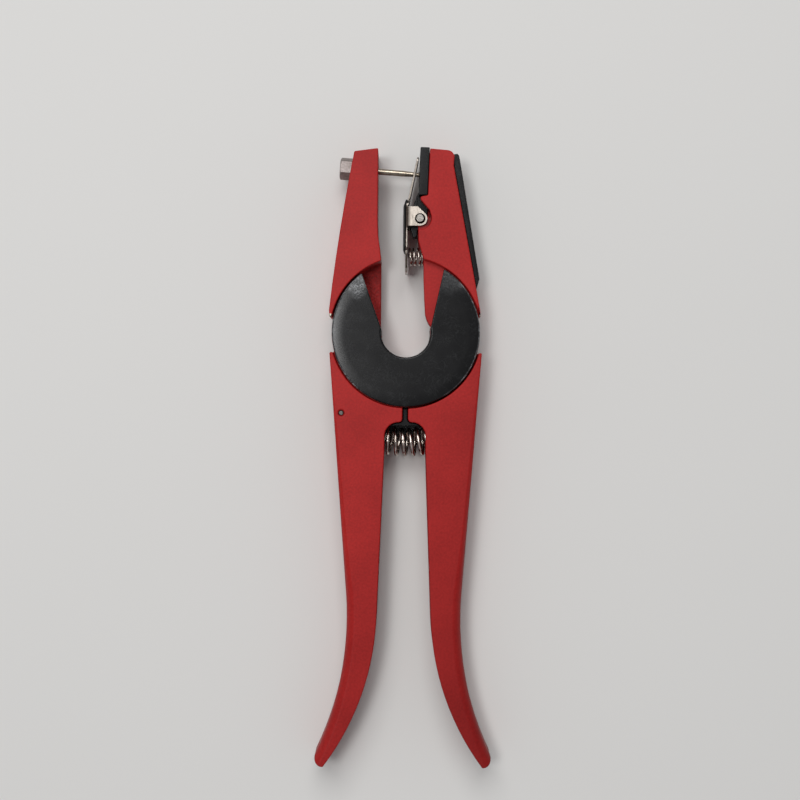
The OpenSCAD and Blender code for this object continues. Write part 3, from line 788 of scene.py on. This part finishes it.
@dataclass(frozen=True)
class SheetEdgeAndBendShade:
    """Duller cut edges of the clip's sheet, with painted shade over its bend and a darker fork; places in mm
    in the shared frame.
    """

    # The next tone is for the duller cut edges and the painted shade over the bend
    colour: str = "37302B"
    from_middle: float = 7.3
    bend: Span = (0.5, 1.7)
    ear_top: Span = (101, 102.5)
    # Near this middle the painted shade on the edges is weaker, so they stay paler
    paler_middle: float = 87.5
    rubbed: Span = (5.5, 4)
    paler_share: float = 0.4
    fork: Span = (102.4, 103.2)
    fork_share: float = 0.45

    def darken(self, nodes: Nodes, colour: Socket) -> Socket:
        """Darken the edges that face up and down, as dull cut edges and painted shade over the bend, and
        dull the fork.

        Args:
            nodes: Nodes of the material.
            colour: Socket with the colour of the plated faces.

        Returns:
            Socket with the colour of the sheet and its edges.
        """
        axes = nodes.add("SeparateXYZ", {"Vector": nodes.place})
        outside = nodes.add("Math", {
            0: nodes.off_middle(), 1: self.from_middle * MM,
        }, operation="GREATER_THAN")
        paler = nodes.apart(axes.outputs["Y"], self.paler_middle * MM)
        edge = nodes.faded(
            outside.outputs[0], Fade(axes.outputs["X"], self.bend), Fade(axes.outputs["Y"], self.ear_top),
            Fade(paler, self.rubbed, end=self.paler_share),
        )
        fork = nodes.faded(self.fork_share, Fade(axes.outputs["Y"], self.fork, 0.0, 1.0))
        dark = nodes.add("Math", {0: edge, 1: fork}, operation="MAXIMUM")
        return nodes.add("Mix", {
            "Factor": dark.outputs[0], MIX_A: colour, MIX_B: linear(self.colour),
        }, data_type="RGBA").outputs[MIX_OUT]


@dataclass(frozen=True)
class Steel:
    """A plated, drawn or blackened steel, told apart by its colours, gloss and grain; sizes in mm."""

    name: str
    bright: str
    dull: str
    roughness: float
    grain: float
    bump: float
    stretch: Point = (1.0, 1.0, 1.0)
    cloud: float = 2.5
    tone_stops: Span = (0.35, 0.65)
    gloss: Span = (0.8, 1.3)
    # The next tone is the painted shade around a head, from the shade ring outwards
    painted_shade_tone: str = "161413"
    painted_shade_ring: Ring | None = None
    edge: SheetEdgeAndBendShade | None = None

    def material(self) -> Material:
        """Build the finish.

        Returns:
            Metal with a fine drawn or brushed grain and uneven gloss. Where a shade ring is given, it is
            painted dark from that ring outwards as painted shade. Where an edge is given, it is darker
            there, partly as painted shade.
        """
        made, nodes = fresh_material(self.name)
        # Drawn and ground grain is too fine to show, so it is drawn as coarse as it needs to show
        laid = nodes.add("Mapping", {"Vector": nodes.place, "Scale": self.stretch})
        grain = nodes.add("TexNoise", {
            "Vector": laid.outputs["Vector"], "Scale": per_mm(self.grain), "Detail": 3.0,
        })
        cloud = nodes.add("TexNoise", {"Vector": nodes.place, "Scale": per_mm(self.cloud), "Detail": 3.0})
        tint = nodes.add("ValToRGB", {"Fac": cloud.outputs["Fac"]})
        for stop, at, code in zip(tint.color_ramp.elements, self.tone_stops, (self.dull, self.bright)):
            stop.position = at
            stop.color = linear(code)
        colour = tint.outputs["Color"]
        # Painted shade: dark from the ring outwards, around a head
        if self.painted_shade_ring is not None:
            x, y, inner, outer, strength = self.painted_shade_ring
            ring = nodes.faded(strength, Fade(nodes.far_from(x, y), (inner, outer), 0.0, 1.0, soft=True))
            colour = nodes.add("Mix", {
                "Factor": ring, MIX_A: colour, MIX_B: linear(self.painted_shade_tone),
            }, data_type="RGBA").outputs[MIX_OUT]
        if self.edge is not None:
            colour = self.edge.darken(nodes, colour)
        sheen = nodes.add("MapRange", {
            "Value": grain.outputs["Fac"], "From Min": 0.3, "From Max": 0.7,
            "To Min": self.roughness * self.gloss[0], "To Max": self.roughness * self.gloss[1],
        })
        bump = nodes.add("Bump", {
            "Height": grain.outputs["Fac"], "Strength": self.bump, "Distance": 0.02 * MM,
        })
        shader = nodes.add("BsdfPrincipled", {
            "Base Color": colour, "Metallic": 1.0, "Roughness": sheen.outputs["Result"],
            "Normal": bump.outputs["Normal"],
        })
        nodes.add("OutputMaterial", {"Surface": shader.outputs["BSDF"]})
        return made


@dataclass(frozen=True)
class Palette:
    """Finishes of the whole tool, each made once."""

    red: Material
    nylon: Material
    rubber: Material
    zinc: Material
    needle: Material
    rivet: Material
    sheet: Material
    wire: Material
    dark: Material

    @staticmethod
    def mix() -> "Palette":
        """Make all the finishes.

        Returns:
            The finishes by name.
        """
        # Zinc plate: a dull grey with a soft bloom
        zinc = Steel("dull_zinc_plated_steel", "A39A97", "8C8480", roughness=0.56, grain=0.4, bump=0.2)
        # Ground needle: bright and hard, with fine rings from the grinder
        needle = Steel(
            "ground_needle_steel", "A99E8E", "8B8071", roughness=0.2, grain=0.3, bump=0.03,
            stretch=(1.0, 0.2, 1.0),
        )
        # Rivet: the same steel, with painted shade in a ring around its worn middle
        rivet = Steel(
            "rivet_steel_with_painted_shade", "B0ABA5", "827D77", roughness=0.27, grain=0.4, bump=0.1,
            painted_shade_ring=Ring(5.4, 46.1, 1.35, 1.6),
        )
        # Nickel-plated sheet: bright, with the grain of the rolled strip along its length, duller cut edges,
        # painted shade over its bend and a darker fork
        sheet = Steel(
            "nickel_plated_spring_sheet", "B9B0A6", "A69D93", roughness=0.3, grain=0.3, bump=0.05,
            stretch=(1.0, 0.1, 1.0), edge=SheetEdgeAndBendShade(),
        )
        # Drawn wire: bright and smooth, so that it mirrors what is around it
        wire = Steel("drawn_spring_wire", "EADFD5", "968D85", roughness=0.22, grain=0.25, bump=0.1)
        # Blackened steel: dark oxide with a low sheen
        dark = Steel("black_oxide_steel", "5E5B58", "54514E", roughness=0.4, grain=0.4, bump=0.2)
        coats = (PowderCoat(), MouldedNylon(), SheetRubber(), zinc, needle, rivet, sheet, wire, dark)
        return Palette(*(coat.material() for coat in coats))


@dataclass
class Levers:
    """The two die-cast levers, whose edges are a little rounded as cast; sizes in mm."""

    palette: Palette
    edge: float = 0.5
    grip_start: Span = (23.37, -105.18)
    grip_clear: float = 4
    throat_edge: WideEdge = WideEdge((6.5, 5, 20.5), (8.6, 29.8, 20.7), 0.9)

    def build(self) -> None:
        """Make both levers."""
        x, y = self.grip_start
        grips = ((x, y, self.grip_clear), (-x, y, self.grip_clear))
        red = self.palette.red
        dress(
            "front_lever", "front_lever_casting", Slot.RED, red, Body.FRONT, self.edge,
            keep_off=grips, wide=self.throat_edge,
        )
        dress("back_lever", "back_lever_casting", Slot.RED, red, Body.BACK, self.edge, keep_off=grips)


@dataclass
class PivotStack:
    """Covers, slip ring and screws that clamp the crossing half rings; sizes in mm."""

    palette: Palette
    cover_edge: float = 0.45
    ring_edge: float = 0.25
    screw_edge: float = 0.15

    def build(self) -> None:
        """Make the covers, the slip ring and the screws."""
        looks = self.palette
        for node, edge in (
            ("front_cover", self.cover_edge), ("back_cover", self.cover_edge),
            ("pivot_bearing", self.ring_edge),
        ):
            dress(node, node + "_moulding", Slot.NYLON, looks.nylon, Body.FRONT, edge)
        dress(
            "cover_screws", "cover_screws_set", Slot.ZINC, looks.zinc, Body.FRONT, self.screw_edge,
            segments=2,
        )


@dataclass(frozen=True)
class Coil:
    """One wound spring along X, or along an arc about the pivot, with a closer turn at each end.

    Its sizes are in mm, its places in mm about the pivot, and the phase of its start is in degrees.
    """

    node: str
    turns: float
    outer: float
    wire: float
    start_x: float
    end_x: float
    y: float
    z: float
    close_gap: float = 0.5
    phase: float = 0
    bend: float = 0
    steps: int = 24

    def rise(self, turn: float) -> float:
        """Give the height of the wire along the axis after so many turns.

        Args:
            turn: Turns from the start.

        Returns:
            Height in millimetres.
        """
        length = self.end_x - self.start_x
        close = self.wire + self.close_gap
        body = (length - self.wire - 2 * close) / (self.turns - 2)
        if turn < 1:
            return close * turn
        if turn < self.turns - 1:
            return close + body * (turn - 1)
        return length - self.wire - close * (self.turns - turn)

    def place(self, along: float, inward: float, z: float) -> Vector:
        """Give a place beside the spring's axis.

        Args:
            along: Millimetres along the axis from its middle or, where it is straight, the X value.
            inward: Millimetres from the axis, towards the pivot or, where it is straight, along Y.
            z: Height in millimetres.

        Returns:
            The place in the shared frame.
        """
        if not self.bend:
            return spot(along, self.y + inward, z)
        turned = along / self.bend
        reach = self.bend - inward
        return spot(reach * math.sin(turned), -reach * math.cos(turned), z)

    def wind(self) -> bpy.types.Object:
        """Wind the wire along its line.

        Returns:
            The spring as a mesh.
        """
        radius = (self.outer - self.wire) / 2
        deselect()
        bpy.ops.curve.primitive_nurbs_path_add()
        path = bpy.context.object
        path.name = self.node + "_coil"
        path.data.splines.clear()
        line = path.data.splines.new("POLY")
        line.points.add(round(self.turns * self.steps))
        for i, point in enumerate(line.points):
            turn = i / self.steps
            angle = 2 * math.pi * turn + math.radians(self.phase)
            along = self.start_x + self.wire / 2 + self.rise(turn)
            place = self.place(along, radius * math.sin(angle), self.z - radius * math.cos(angle))
            point.co = (*place, 1.0)
        path.data.dimensions = "3D"
        path.data.bevel_depth = self.wire / 2 * MM
        path.data.bevel_resolution = 4
        path.data.use_fill_caps = True
        choose(path)
        bpy.ops.object.convert(target="MESH")
        piece = bpy.context.object
        with edit_mode(piece):
            bpy.ops.mesh.remove_doubles(threshold=0.001 * MM)
            bpy.ops.mesh.normals_make_consistent(inside=False)
        smooth(piece, angle=50)
        return piece


@dataclass
class Springs:
    """The three compression springs."""

    palette: Palette
    main: Coil = Coil(
        "main_spring", turns=8.875, outer=12, wire=1.5, start_x=-13.95, end_x=13.95, y=-44.3, z=MID_Z,
        close_gap=0.8, phase=100, bend=44.3,
    )
    clip: Coil = Coil(
        "clip_spring", turns=3.75, outer=7.6, wire=0.8, start_x=0.6, end_x=7.2, y=31.4, z=MID_Z,
    )
    latch: Coil = Coil(
        "latch_spring", turns=5, outer=3.2, wire=0.4, start_x=-25.3, end_x=-19.5, y=-38.4, z=6.6,
    )

    def build(self) -> None:
        """Wind the springs and give each its finish."""
        for coil, first, last in (
            (self.main, Body.FRONT, Body.BACK),
            (self.clip, Body.CLIP, Body.FRONT),
            (self.latch, Body.LATCH, Body.FRONT),
        ):
            piece = coil.wind()
            coil.place(coil.start_x, 0, coil.z)
            coil.place(coil.end_x, 0, coil.z)
            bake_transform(piece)
            settle(piece, coil.node, self.palette.wire, None)


@dataclass
class TagPins:
    """The pin in the left jaw with its nut, and the spare one under its strip; sizes in mm."""

    palette: Palette
    reach: float = 65.1
    tilt: float = 4.25
    nut_flats: float = 8
    nut_t: float = 5.2
    seat: float = -27
    chamfer: float = 0.45
    chamfer_share: float = 0.93
    form_sides: int = 72
    form_room: float = 0.01
    form_overlap: float = 0.001
    pin_edge: float = 0.12
    strip_edge: float = 0.4

    def frame_matrix(self) -> Matrix:
        """Give the place of the pin, with Z along it towards the insert.

        Returns:
            Matrix from the pin's own frame to the shared one.
        """
        lean = math.radians(self.tilt)
        origin = spot(self.reach * math.sin(lean), self.reach * math.cos(lean), MID_Z)
        turned = Matrix.Rotation(-lean, 4, "Z") @ Matrix.Rotation(math.pi / 2, 4, "Y")
        return Matrix.Translation(origin) @ turned

    def chamfer_form(self) -> bpy.types.Object:
        """Turn the double cone that cuts the corners of the nut.

        Returns:
            A closed form that is a little larger than the nut, with cut rims.
        """
        corner = self.nut_flats / 2 / math.cos(math.pi / 6) + self.form_room
        straight = self.nut_t - 2 * self.chamfer
        rim = self.chamfer_share * self.nut_flats / 2 / corner
        deselect()
        bpy.ops.mesh.primitive_cylinder_add(
            vertices=self.form_sides, radius=corner * MM, depth=straight * MM,
        )
        form = bpy.context.object
        for side in (1, -1):
            rise = side * (self.chamfer + self.form_overlap) * MM
            with edit_mode(form):
                bpy.ops.mesh.select_all(action="DESELECT")
                bpy.ops.mesh.select_mode(type="FACE")
                bpy.ops.object.mode_set(mode="OBJECT")
                for face in form.data.polygons:
                    face.select = face.normal.z * side > 0.9 and face.center.z * side > 0
                bpy.ops.object.mode_set(mode="EDIT")
                bpy.ops.mesh.extrude_region_move(TRANSFORM_OT_translate={"value": (0, 0, rise)})
                bpy.ops.transform.resize(value=(rim, rim, 1.0))
        middle = (0, 0, (self.seat - self.nut_t / 2) * MM)
        form.matrix_world = self.frame_matrix() @ Matrix.Translation(middle)
        choose(form)
        bpy.ops.object.transform_apply(location=True, rotation=True, scale=True)
        return form

    def build(self) -> None:
        """Make the pins, the nut and the strip."""
        looks = self.palette
        for node, body in (("tag_pin", Body.BACK), ("spare_pin", Body.FRONT)):
            dress(node, node + "_turned", Slot.ZINC, looks.needle, body, self.pin_edge, segments=2)
        nut = copy_node("pin_nut", "pin_nut_hexagon")
        form = self.chamfer_form()
        apply_modifier(nut, "BOOLEAN", operation="INTERSECT", object=form, solver="EXACT")
        bpy.data.objects.remove(form)
        soften(nut, self.pin_edge, segments=2, sharp=25)
        settle(nut, "pin_nut", looks.zinc, Body.BACK)
        dress(
            "spare_pin_cover", "spare_pin_cover_strip", Slot.NYLON, looks.nylon, Body.FRONT,
            self.strip_edge,
        )


@dataclass
class TagClip:
    """The insert and the sprung clip with its pad, pin and ring; sizes in mm."""

    palette: Palette
    insert_edge: float = 0.35
    sheet_edge: float = 0.15
    bend: WideEdge = WideEdge((-0.6, 34, 1.7), (-0.3, 52, 19.5), 0.6)
    pad_edge: float = 0.25
    pin_edge: float = 0.15
    ring_edge: float = 0.1

    def build(self) -> None:
        """Make the insert, the clip and what holds it."""
        looks = self.palette
        dress("tag_insert", "tag_insert_anvil", Slot.NYLON, looks.nylon, Body.FRONT, self.insert_edge)
        dress(
            "tag_clip", "tag_clip_pressing", Slot.SPRING, looks.sheet, Body.CLIP, self.sheet_edge,
            segments=4, wide=self.bend,
        )
        dress("clip_pad", "clip_pad_rubber", Slot.RUBBER, looks.rubber, Body.CLIP, self.pad_edge)
        dress(
            "clip_pin", "clip_pin_rivet", Slot.ZINC, looks.rivet, Body.FRONT, self.pin_edge,
            segments=2, sharp=25,
        )
        dress(
            "clip_pin_ring", "clip_pin_lock_ring", Slot.SPRING, looks.sheet, Body.FRONT, self.ring_edge,
            segments=2,
        )


@dataclass
class Latch:
    """The pawl in the left handle and its dowel; sizes in mm."""

    palette: Palette
    pawl_edge: float = 0.25
    pin_edge: float = 0.1

    def build(self) -> None:
        """Make the pawl and its pin."""
        dark = self.palette.dark
        dress("lock_latch", "lock_latch_pawl", Slot.DARK, dark, Body.LATCH, self.pawl_edge)
        dress("latch_pin", "latch_pin_dowel", Slot.DARK, dark, Body.FRONT, self.pin_edge, segments=2)


@dataclass(frozen=True)
class Lamp:
    """A soft round lamp that faces the tool; places and sizes in metres, power in watts."""

    name: str
    place: Point
    size: float
    power: float
    aim: Point = (0, 0.02, 0)

    def hang(self) -> None:
        """Hang the lamp in its place."""
        data = bpy.data.lights.new(self.name, "AREA")
        data.shape = "DISK"
        data.size = self.size
        data.energy = self.power
        lamp = bpy.data.objects.new(self.name, data)
        bpy.context.scene.collection.objects.link(lamp)
        lamp.location = self.place
        towards = Vector(self.aim) - Vector(self.place)
        lamp.rotation_euler = towards.to_track_quat("-Z", "Y").to_euler()


@dataclass
class Studio:
    """Pale floor, soft light and a camera that looks straight down; sizes in mm."""

    view_centre: Span = (-2.13, 23.13)
    view_width: float = 321.6
    view_height: float = 580
    sensor: float = 36
    roll: float = 0.45
    floor_size: float = 4000
    floor_drop: float = 0.05
    floor_cloud: float = 160
    floor_tones: tuple[str, str] = ("D8D7D4", "DAD9D6")
    floor_roughness: float = 0.7
    window: Lamp = Lamp("window", (-0.22, 1.23, 1.81), size=1.5, power=25)
    side_panel: Lamp = Lamp("side_panel", (-0.52, 0.15, 1.92), size=0.45, power=9)
    air: str = "FBFBFF"
    walls: float = 0.36
    ceiling: float = 0.25

    def camera(self) -> None:
        """Place the camera of the photograph."""
        data = bpy.data.cameras.new("camera")
        data.sensor_width = self.sensor
        data.lens = self.sensor * self.view_height / self.view_width
        data.clip_end = 10
        camera = bpy.data.objects.new("camera", data)
        bpy.context.scene.collection.objects.link(camera)
        camera.location = Vector((*self.view_centre, FRONT_Z + self.view_height)) * MM
        camera.rotation_euler = (0, 0, math.radians(self.roll))
        bpy.context.scene.camera = camera

    def ground(self) -> None:
        """Lay the floor under the tool."""
        deselect()
        bpy.ops.mesh.primitive_plane_add(
            size=self.floor_size * MM, location=(0, 0, -self.floor_drop * MM),
        )
        floor = bpy.context.object
        floor.name = "floor"
        # Matt table: a pale grey that is barely uneven, so that the tool's shadow stays soft on it
        made, nodes = fresh_material("pale_matt_table")
        shade = nodes.add("TexNoise", {
            "Vector": nodes.place, "Scale": per_mm(self.floor_cloud), "Detail": 2.0,
        })
        tint = nodes.add("ValToRGB", {"Fac": shade.outputs["Fac"]})
        for stop, code in zip(tint.color_ramp.elements, self.floor_tones):
            stop.color = linear(code)
        shader = nodes.add("BsdfPrincipled", {
            "Base Color": tint.outputs["Color"], "Roughness": self.floor_roughness,
        })
        nodes.add("OutputMaterial", {"Surface": shader.outputs["BSDF"]})
        floor.data.materials.append(made)

    def sky(self) -> None:
        """Surround the tool with pale walls and a slightly dimmer ceiling."""
        world = bpy.data.worlds.new("studio")
        bpy.context.scene.world = world
        world.use_nodes = True
        nodes = Nodes(world.node_tree, "Generated")
        up = nodes.add("SeparateXYZ", {"Vector": nodes.place})
        wall = nodes.add("MapRange", {
            "Value": up.outputs["Z"], "From Min": 0.5, "From Max": 0.98,
            "To Min": self.walls, "To Max": self.ceiling,
        }, interpolation_type="SMOOTHSTEP")
        sky = nodes.add("Background", {"Color": linear(self.air), "Strength": wall.outputs["Result"]})
        nodes.add("OutputWorld", {"Surface": sky.outputs["Background"]})

    def build(self) -> None:
        """Set up the camera, the floor and the light."""
        self.camera()
        self.ground()
        self.window.hang()
        self.side_panel.hang()
        self.sky()
        bpy.context.scene.view_settings.view_transform = "Standard"


def main() -> None:
    """Build the whole scene."""
    logging.basicConfig(level=logging.INFO, format="%(name)s: %(message)s")
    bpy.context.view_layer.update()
    Studio().build()
    palette = Palette.mix()
    for group in (Levers, PivotStack, Springs, TagPins, TagClip, Latch):
        group(palette).build()
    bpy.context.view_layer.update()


if __name__ == "__main__":
    main()
